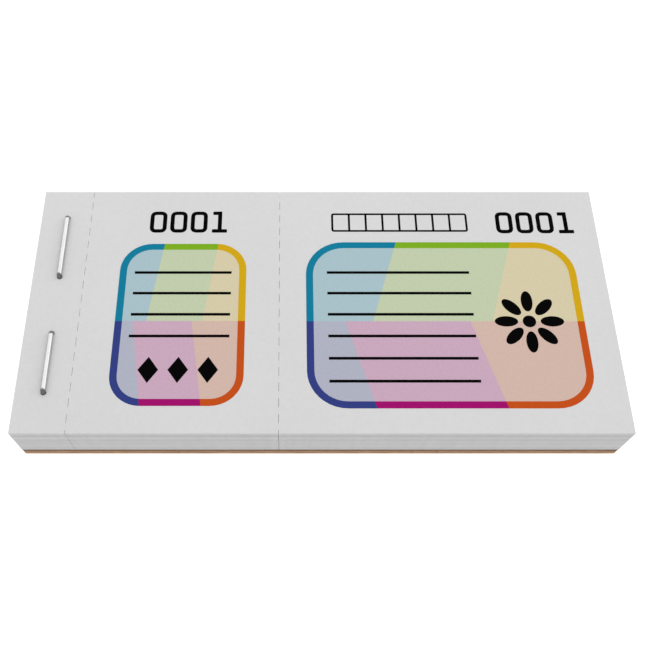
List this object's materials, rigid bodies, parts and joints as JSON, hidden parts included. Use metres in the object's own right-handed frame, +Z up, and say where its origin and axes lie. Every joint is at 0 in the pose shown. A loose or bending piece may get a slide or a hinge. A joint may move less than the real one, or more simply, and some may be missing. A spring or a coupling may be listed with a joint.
{
  "type": "ticket book",
  "caption": "Stapled book of numbered tickets on a backing board. Perforated leaves turn up from a bound margin, and the ticket folds off its stub.",
  "frame": {"origin": "middle of the backing board's underside", "axes": "+X from the bound edge to the free edge, +Y from the front edge to the back edge, +Z up through the leaves"},
  "size_m": [0.105, 0.0494, 0.0113],
  "materials": {
    "paper": "uncoated white offset paper",
    "chipboard": "raw brown chipboard",
    "staple_wire": "bright galvanised wire"
  },
  "bodies": {
    "bound_pad": {"backing_board": "chipboard", "staple_rear": "staple_wire", "staple_front": "staple_wire", "margin_strips": "paper"},
    "leaf_02": {"leaf_02": "paper"},
    "leaf_03": {"leaf_03": "paper"},
    "leaf_04": {"leaf_04": "paper"},
    "leaf_05": {"leaf_05": "paper"},
    "leaf_06": {"leaf_06": "paper"},
    "leaf_07": {"leaf_07": "paper"},
    "leaf_08": {"leaf_08": "paper"},
    "leaf_09": {"leaf_09": "paper"},
    "leaf_10": {"leaf_10": "paper"},
    "leaf_11": {"leaf_11": "paper"},
    "leaf_12": {"leaf_12": "paper"},
    "leaf_13": {"leaf_13": "paper"},
    "leaf_14": {"leaf_14": "paper"},
    "leaf_15": {"leaf_15": "paper"},
    "leaf_16": {"leaf_16": "paper"},
    "leaf_17": {"leaf_17": "paper"},
    "leaf_18": {"leaf_18": "paper"},
    "leaf_19": {"leaf_19": "paper"},
    "leaf_20": {"leaf_20": "paper"},
    "leaf_21": {"leaf_21": "paper"},
    "leaf_22": {"leaf_22": "paper"},
    "leaf_23": {"leaf_23": "paper"},
    "leaf_24": {"leaf_24": "paper"},
    "leaf_25": {"leaf_25": "paper"},
    "leaf_26": {"leaf_26": "paper"},
    "leaf_27": {"leaf_27": "paper"},
    "leaf_28": {"leaf_28": "paper"},
    "leaf_29": {"leaf_29": "paper"},
    "leaf_30": {"leaf_30": "paper"},
    "leaf_31": {"leaf_31": "paper"},
    "leaf_32": {"leaf_32": "paper"},
    "leaf_33": {"leaf_33": "paper"},
    "leaf_34": {"leaf_34": "paper"},
    "leaf_35": {"leaf_35": "paper"},
    "leaf_36": {"leaf_36": "paper"},
    "leaf_37": {"leaf_37": "paper"},
    "leaf_38": {"leaf_38": "paper"},
    "leaf_39": {"leaf_39": "paper"},
    "leaf_40": {"leaf_40": "paper"},
    "leaf_41": {"leaf_41": "paper"},
    "leaf_42": {"leaf_42": "paper"},
    "leaf_43": {"leaf_43": "paper"},
    "leaf_44": {"leaf_44": "paper"},
    "leaf_45": {"leaf_45": "paper"},
    "leaf_46": {"leaf_46": "paper"},
    "leaf_47": {"leaf_47": "paper"},
    "leaf_48": {"leaf_48": "paper"},
    "leaf_49": {"leaf_49": "paper"},
    "leaf_50": {"leaf_50": "paper"},
    "top_stub": {"leaf_01_stub": "paper"},
    "top_ticket": {"leaf_01_ticket": "paper"}
  },
  "joints": [
    {"name": "fan", "type": "hinge", "parent": "bound_pad", "child": "leaf_02", "pos_m": [-0.0431, 0, 0.01039], "axis": [0, -1, 0], "range_deg": [0, 45]},
    {"name": "leaf_03_turn", "type": "hinge", "parent": "bound_pad", "child": "leaf_03", "pos_m": [-0.0431, 0, 0.01039], "axis": [0, -1, 0], "range_deg": [0, 43.21]},
    {"name": "leaf_04_turn", "type": "hinge", "parent": "bound_pad", "child": "leaf_04", "pos_m": [-0.0431, 0, 0.01039], "axis": [0, -1, 0], "range_deg": [0, 41.45]},
    {"name": "leaf_05_turn", "type": "hinge", "parent": "bound_pad", "child": "leaf_05", "pos_m": [-0.0431, 0, 0.01039], "axis": [0, -1, 0], "range_deg": [0, 39.72]},
    {"name": "leaf_06_turn", "type": "hinge", "parent": "bound_pad", "child": "leaf_06", "pos_m": [-0.0431, 0, 0.01039], "axis": [0, -1, 0], "range_deg": [0, 38.04]},
    {"name": "leaf_07_turn", "type": "hinge", "parent": "bound_pad", "child": "leaf_07", "pos_m": [-0.0431, 0, 0.01039], "axis": [0, -1, 0], "range_deg": [0, 36.39]},
    {"name": "leaf_08_turn", "type": "hinge", "parent": "bound_pad", "child": "leaf_08", "pos_m": [-0.0431, 0, 0.01039], "axis": [0, -1, 0], "range_deg": [0, 34.78]},
    {"name": "leaf_09_turn", "type": "hinge", "parent": "bound_pad", "child": "leaf_09", "pos_m": [-0.0431, 0, 0.01039], "axis": [0, -1, 0], "range_deg": [0, 33.21]},
    {"name": "leaf_10_turn", "type": "hinge", "parent": "bound_pad", "child": "leaf_10", "pos_m": [-0.0431, 0, 0.01039], "axis": [0, -1, 0], "range_deg": [0, 31.67]},
    {"name": "leaf_11_turn", "type": "hinge", "parent": "bound_pad", "child": "leaf_11", "pos_m": [-0.0431, 0, 0.01039], "axis": [0, -1, 0], "range_deg": [0, 30.18]},
    {"name": "leaf_12_turn", "type": "hinge", "parent": "bound_pad", "child": "leaf_12", "pos_m": [-0.0431, 0, 0.01039], "axis": [0, -1, 0], "range_deg": [0, 28.72]},
    {"name": "leaf_13_turn", "type": "hinge", "parent": "bound_pad", "child": "leaf_13", "pos_m": [-0.0431, 0, 0.01039], "axis": [0, -1, 0], "range_deg": [0, 27.3]},
    {"name": "leaf_14_turn", "type": "hinge", "parent": "bound_pad", "child": "leaf_14", "pos_m": [-0.0431, 0, 0.01039], "axis": [0, -1, 0], "range_deg": [0, 25.91]},
    {"name": "leaf_15_turn", "type": "hinge", "parent": "bound_pad", "child": "leaf_15", "pos_m": [-0.0431, 0, 0.01039], "axis": [0, -1, 0], "range_deg": [0, 24.57]},
    {"name": "leaf_16_turn", "type": "hinge", "parent": "bound_pad", "child": "leaf_16", "pos_m": [-0.0431, 0, 0.01039], "axis": [0, -1, 0], "range_deg": [0, 23.26]},
    {"name": "leaf_17_turn", "type": "hinge", "parent": "bound_pad", "child": "leaf_17", "pos_m": [-0.0431, 0, 0.01039], "axis": [0, -1, 0], "range_deg": [0, 21.99]},
    {"name": "leaf_18_turn", "type": "hinge", "parent": "bound_pad", "child": "leaf_18", "pos_m": [-0.0431, 0, 0.01039], "axis": [0, -1, 0], "range_deg": [0, 20.76]},
    {"name": "leaf_19_turn", "type": "hinge", "parent": "bound_pad", "child": "leaf_19", "pos_m": [-0.0431, 0, 0.01039], "axis": [0, -1, 0], "range_deg": [0, 19.57]},
    {"name": "leaf_20_turn", "type": "hinge", "parent": "bound_pad", "child": "leaf_20", "pos_m": [-0.0431, 0, 0.01039], "axis": [0, -1, 0], "range_deg": [0, 18.41]},
    {"name": "leaf_21_turn", "type": "hinge", "parent": "bound_pad", "child": "leaf_21", "pos_m": [-0.0431, 0, 0.01039], "axis": [0, -1, 0], "range_deg": [0, 17.29]},
    {"name": "leaf_22_turn", "type": "hinge", "parent": "bound_pad", "child": "leaf_22", "pos_m": [-0.0431, 0, 0.01039], "axis": [0, -1, 0], "range_deg": [0, 16.21]},
    {"name": "leaf_23_turn", "type": "hinge", "parent": "bound_pad", "child": "leaf_23", "pos_m": [-0.0431, 0, 0.01039], "axis": [0, -1, 0], "range_deg": [0, 15.17]},
    {"name": "leaf_24_turn", "type": "hinge", "parent": "bound_pad", "child": "leaf_24", "pos_m": [-0.0431, 0, 0.01039], "axis": [0, -1, 0], "range_deg": [0, 14.17]},
    {"name": "leaf_25_turn", "type": "hinge", "parent": "bound_pad", "child": "leaf_25", "pos_m": [-0.0431, 0, 0.01039], "axis": [0, -1, 0], "range_deg": [0, 13.2]},
    {"name": "leaf_26_turn", "type": "hinge", "parent": "bound_pad", "child": "leaf_26", "pos_m": [-0.0431, 0, 0.01039], "axis": [0, -1, 0], "range_deg": [0, 12.27]},
    {"name": "leaf_27_turn", "type": "hinge", "parent": "bound_pad", "child": "leaf_27", "pos_m": [-0.0431, 0, 0.01039], "axis": [0, -1, 0], "range_deg": [0, 11.38]},
    {"name": "leaf_28_turn", "type": "hinge", "parent": "bound_pad", "child": "leaf_28", "pos_m": [-0.0431, 0, 0.01039], "axis": [0, -1, 0], "range_deg": [0, 10.53]},
    {"name": "leaf_29_turn", "type": "hinge", "parent": "bound_pad", "child": "leaf_29", "pos_m": [-0.0431, 0, 0.01039], "axis": [0, -1, 0], "range_deg": [0, 9.72]},
    {"name": "leaf_30_turn", "type": "hinge", "parent": "bound_pad", "child": "leaf_30", "pos_m": [-0.0431, 0, 0.01039], "axis": [0, -1, 0], "range_deg": [0, 8.94]},
    {"name": "leaf_31_turn", "type": "hinge", "parent": "bound_pad", "child": "leaf_31", "pos_m": [-0.0431, 0, 0.01039], "axis": [0, -1, 0], "range_deg": [0, 8.2]},
    {"name": "leaf_32_turn", "type": "hinge", "parent": "bound_pad", "child": "leaf_32", "pos_m": [-0.0431, 0, 0.01039], "axis": [0, -1, 0], "range_deg": [0, 7.5]},
    {"name": "leaf_33_turn", "type": "hinge", "parent": "bound_pad", "child": "leaf_33", "pos_m": [-0.0431, 0, 0.01039], "axis": [0, -1, 0], "range_deg": [0, 6.84]},
    {"name": "leaf_34_turn", "type": "hinge", "parent": "bound_pad", "child": "leaf_34", "pos_m": [-0.0431, 0, 0.01039], "axis": [0, -1, 0], "range_deg": [0, 6.21]},
    {"name": "leaf_35_turn", "type": "hinge", "parent": "bound_pad", "child": "leaf_35", "pos_m": [-0.0431, 0, 0.01039], "axis": [0, -1, 0], "range_deg": [0, 5.62]},
    {"name": "leaf_36_turn", "type": "hinge", "parent": "bound_pad", "child": "leaf_36", "pos_m": [-0.0431, 0, 0.01039], "axis": [0, -1, 0], "range_deg": [0, 5.07]},
    {"name": "leaf_37_turn", "type": "hinge", "parent": "bound_pad", "child": "leaf_37", "pos_m": [-0.0431, 0, 0.01039], "axis": [0, -1, 0], "range_deg": [0, 4.56]},
    {"name": "leaf_38_turn", "type": "hinge", "parent": "bound_pad", "child": "leaf_38", "pos_m": [-0.0431, 0, 0.01039], "axis": [0, -1, 0], "range_deg": [0, 4.09]},
    {"name": "leaf_39_turn", "type": "hinge", "parent": "bound_pad", "child": "leaf_39", "pos_m": [-0.0431, 0, 0.01039], "axis": [0, -1, 0], "range_deg": [0, 3.65]},
    {"name": "leaf_40_turn", "type": "hinge", "parent": "bound_pad", "child": "leaf_40", "pos_m": [-0.0431, 0, 0.01039], "axis": [0, -1, 0], "range_deg": [0, 3.25]},
    {"name": "leaf_41_turn", "type": "hinge", "parent": "bound_pad", "child": "leaf_41", "pos_m": [-0.0431, 0, 0.01039], "axis": [0, -1, 0], "range_deg": [0, 2.89]},
    {"name": "leaf_42_turn", "type": "hinge", "parent": "bound_pad", "child": "leaf_42", "pos_m": [-0.0431, 0, 0.01039], "axis": [0, -1, 0], "range_deg": [0, 2.57]},
    {"name": "leaf_43_turn", "type": "hinge", "parent": "bound_pad", "child": "leaf_43", "pos_m": [-0.0431, 0, 0.01039], "axis": [0, -1, 0], "range_deg": [0, 2.29]},
    {"name": "leaf_44_turn", "type": "hinge", "parent": "bound_pad", "child": "leaf_44", "pos_m": [-0.0431, 0, 0.01039], "axis": [0, -1, 0], "range_deg": [0, 2.04]},
    {"name": "leaf_45_turn", "type": "hinge", "parent": "bound_pad", "child": "leaf_45", "pos_m": [-0.0431, 0, 0.01039], "axis": [0, -1, 0], "range_deg": [0, 1.83]},
    {"name": "leaf_46_turn", "type": "hinge", "parent": "bound_pad", "child": "leaf_46", "pos_m": [-0.0431, 0, 0.01039], "axis": [0, -1, 0], "range_deg": [0, 1.66]},
    {"name": "leaf_47_turn", "type": "hinge", "parent": "bound_pad", "child": "leaf_47", "pos_m": [-0.0431, 0, 0.01039], "axis": [0, -1, 0], "range_deg": [0, 1.53]},
    {"name": "leaf_48_turn", "type": "hinge", "parent": "bound_pad", "child": "leaf_48", "pos_m": [-0.0431, 0, 0.01039], "axis": [0, -1, 0], "range_deg": [0, 1.44]},
    {"name": "leaf_49_turn", "type": "hinge", "parent": "bound_pad", "child": "leaf_49", "pos_m": [-0.0431, 0, 0.01039], "axis": [0, -1, 0], "range_deg": [0, 1.38]},
    {"name": "leaf_50_turn", "type": "hinge", "parent": "bound_pad", "child": "leaf_50", "pos_m": [-0.0431, 0, 0.01039], "axis": [0, -1, 0], "range_deg": [0, 1.36]},
    {"name": "top_leaf_turn", "type": "hinge", "parent": "leaf_02", "child": "top_stub", "pos_m": [-0.0431, 0, 0.01039], "axis": [0, -1, 0], "range_deg": [0, 90]},
    {"name": "ticket_fold", "type": "hinge", "parent": "top_stub", "child": "top_ticket", "pos_m": [-0.0073, 0, 0.01039], "axis": [0, -1, 0], "range_deg": [0, 75]}
  ],
  "couplings": [
    {"joint": "leaf_03_turn", "follows": "fan", "ratio": 0.96},
    {"joint": "leaf_04_turn", "follows": "fan", "ratio": 0.9209},
    {"joint": "leaf_05_turn", "follows": "fan", "ratio": 0.8825},
    {"joint": "leaf_06_turn", "follows": "fan", "ratio": 0.8451},
    {"joint": "leaf_07_turn", "follows": "fan", "ratio": 0.8084},
    {"joint": "leaf_08_turn", "follows": "fan", "ratio": 0.7727},
    {"joint": "leaf_09_turn", "follows": "fan", "ratio": 0.7377},
    {"joint": "leaf_10_turn", "follows": "fan", "ratio": 0.7036},
    {"joint": "leaf_11_turn", "follows": "fan", "ratio": 0.6704},
    {"joint": "leaf_12_turn", "follows": "fan", "ratio": 0.6379},
    {"joint": "leaf_13_turn", "follows": "fan", "ratio": 0.6064},
    {"joint": "leaf_14_turn", "follows": "fan", "ratio": 0.5756},
    {"joint": "leaf_15_turn", "follows": "fan", "ratio": 0.5457},
    {"joint": "leaf_16_turn", "follows": "fan", "ratio": 0.5167},
    {"joint": "leaf_17_turn", "follows": "fan", "ratio": 0.4885},
    {"joint": "leaf_18_turn", "follows": "fan", "ratio": 0.4611},
    {"joint": "leaf_19_turn", "follows": "fan", "ratio": 0.4346},
    {"joint": "leaf_20_turn", "follows": "fan", "ratio": 0.4089},
    {"joint": "leaf_21_turn", "follows": "fan", "ratio": 0.3841},
    {"joint": "leaf_22_turn", "follows": "fan", "ratio": 0.3601},
    {"joint": "leaf_23_turn", "follows": "fan", "ratio": 0.3369},
    {"joint": "leaf_24_turn", "follows": "fan", "ratio": 0.3146},
    {"joint": "leaf_25_turn", "follows": "fan", "ratio": 0.2931},
    {"joint": "leaf_26_turn", "follows": "fan", "ratio": 0.2725},
    {"joint": "leaf_27_turn", "follows": "fan", "ratio": 0.2527},
    {"joint": "leaf_28_turn", "follows": "fan", "ratio": 0.2338},
    {"joint": "leaf_29_turn", "follows": "fan", "ratio": 0.2157},
    {"joint": "leaf_30_turn", "follows": "fan", "ratio": 0.1984},
    {"joint": "leaf_31_turn", "follows": "fan", "ratio": 0.182},
    {"joint": "leaf_32_turn", "follows": "fan", "ratio": 0.1664},
    {"joint": "leaf_33_turn", "follows": "fan", "ratio": 0.1517},
    {"joint": "leaf_34_turn", "follows": "fan", "ratio": 0.1378},
    {"joint": "leaf_35_turn", "follows": "fan", "ratio": 0.1247},
    {"joint": "leaf_36_turn", "follows": "fan", "ratio": 0.1125},
    {"joint": "leaf_37_turn", "follows": "fan", "ratio": 0.1012},
    {"joint": "leaf_38_turn", "follows": "fan", "ratio": 0.0906},
    {"joint": "leaf_39_turn", "follows": "fan", "ratio": 0.0809},
    {"joint": "leaf_40_turn", "follows": "fan", "ratio": 0.0721},
    {"joint": "leaf_41_turn", "follows": "fan", "ratio": 0.0641},
    {"joint": "leaf_42_turn", "follows": "fan", "ratio": 0.0569},
    {"joint": "leaf_43_turn", "follows": "fan", "ratio": 0.0506},
    {"joint": "leaf_44_turn", "follows": "fan", "ratio": 0.0452},
    {"joint": "leaf_45_turn", "follows": "fan", "ratio": 0.0405},
    {"joint": "leaf_46_turn", "follows": "fan", "ratio": 0.0367},
    {"joint": "leaf_47_turn", "follows": "fan", "ratio": 0.0338},
    {"joint": "leaf_48_turn", "follows": "fan", "ratio": 0.0317},
    {"joint": "leaf_49_turn", "follows": "fan", "ratio": 0.0304},
    {"joint": "leaf_50_turn", "follows": "fan", "ratio": 0.03}
  ]
}
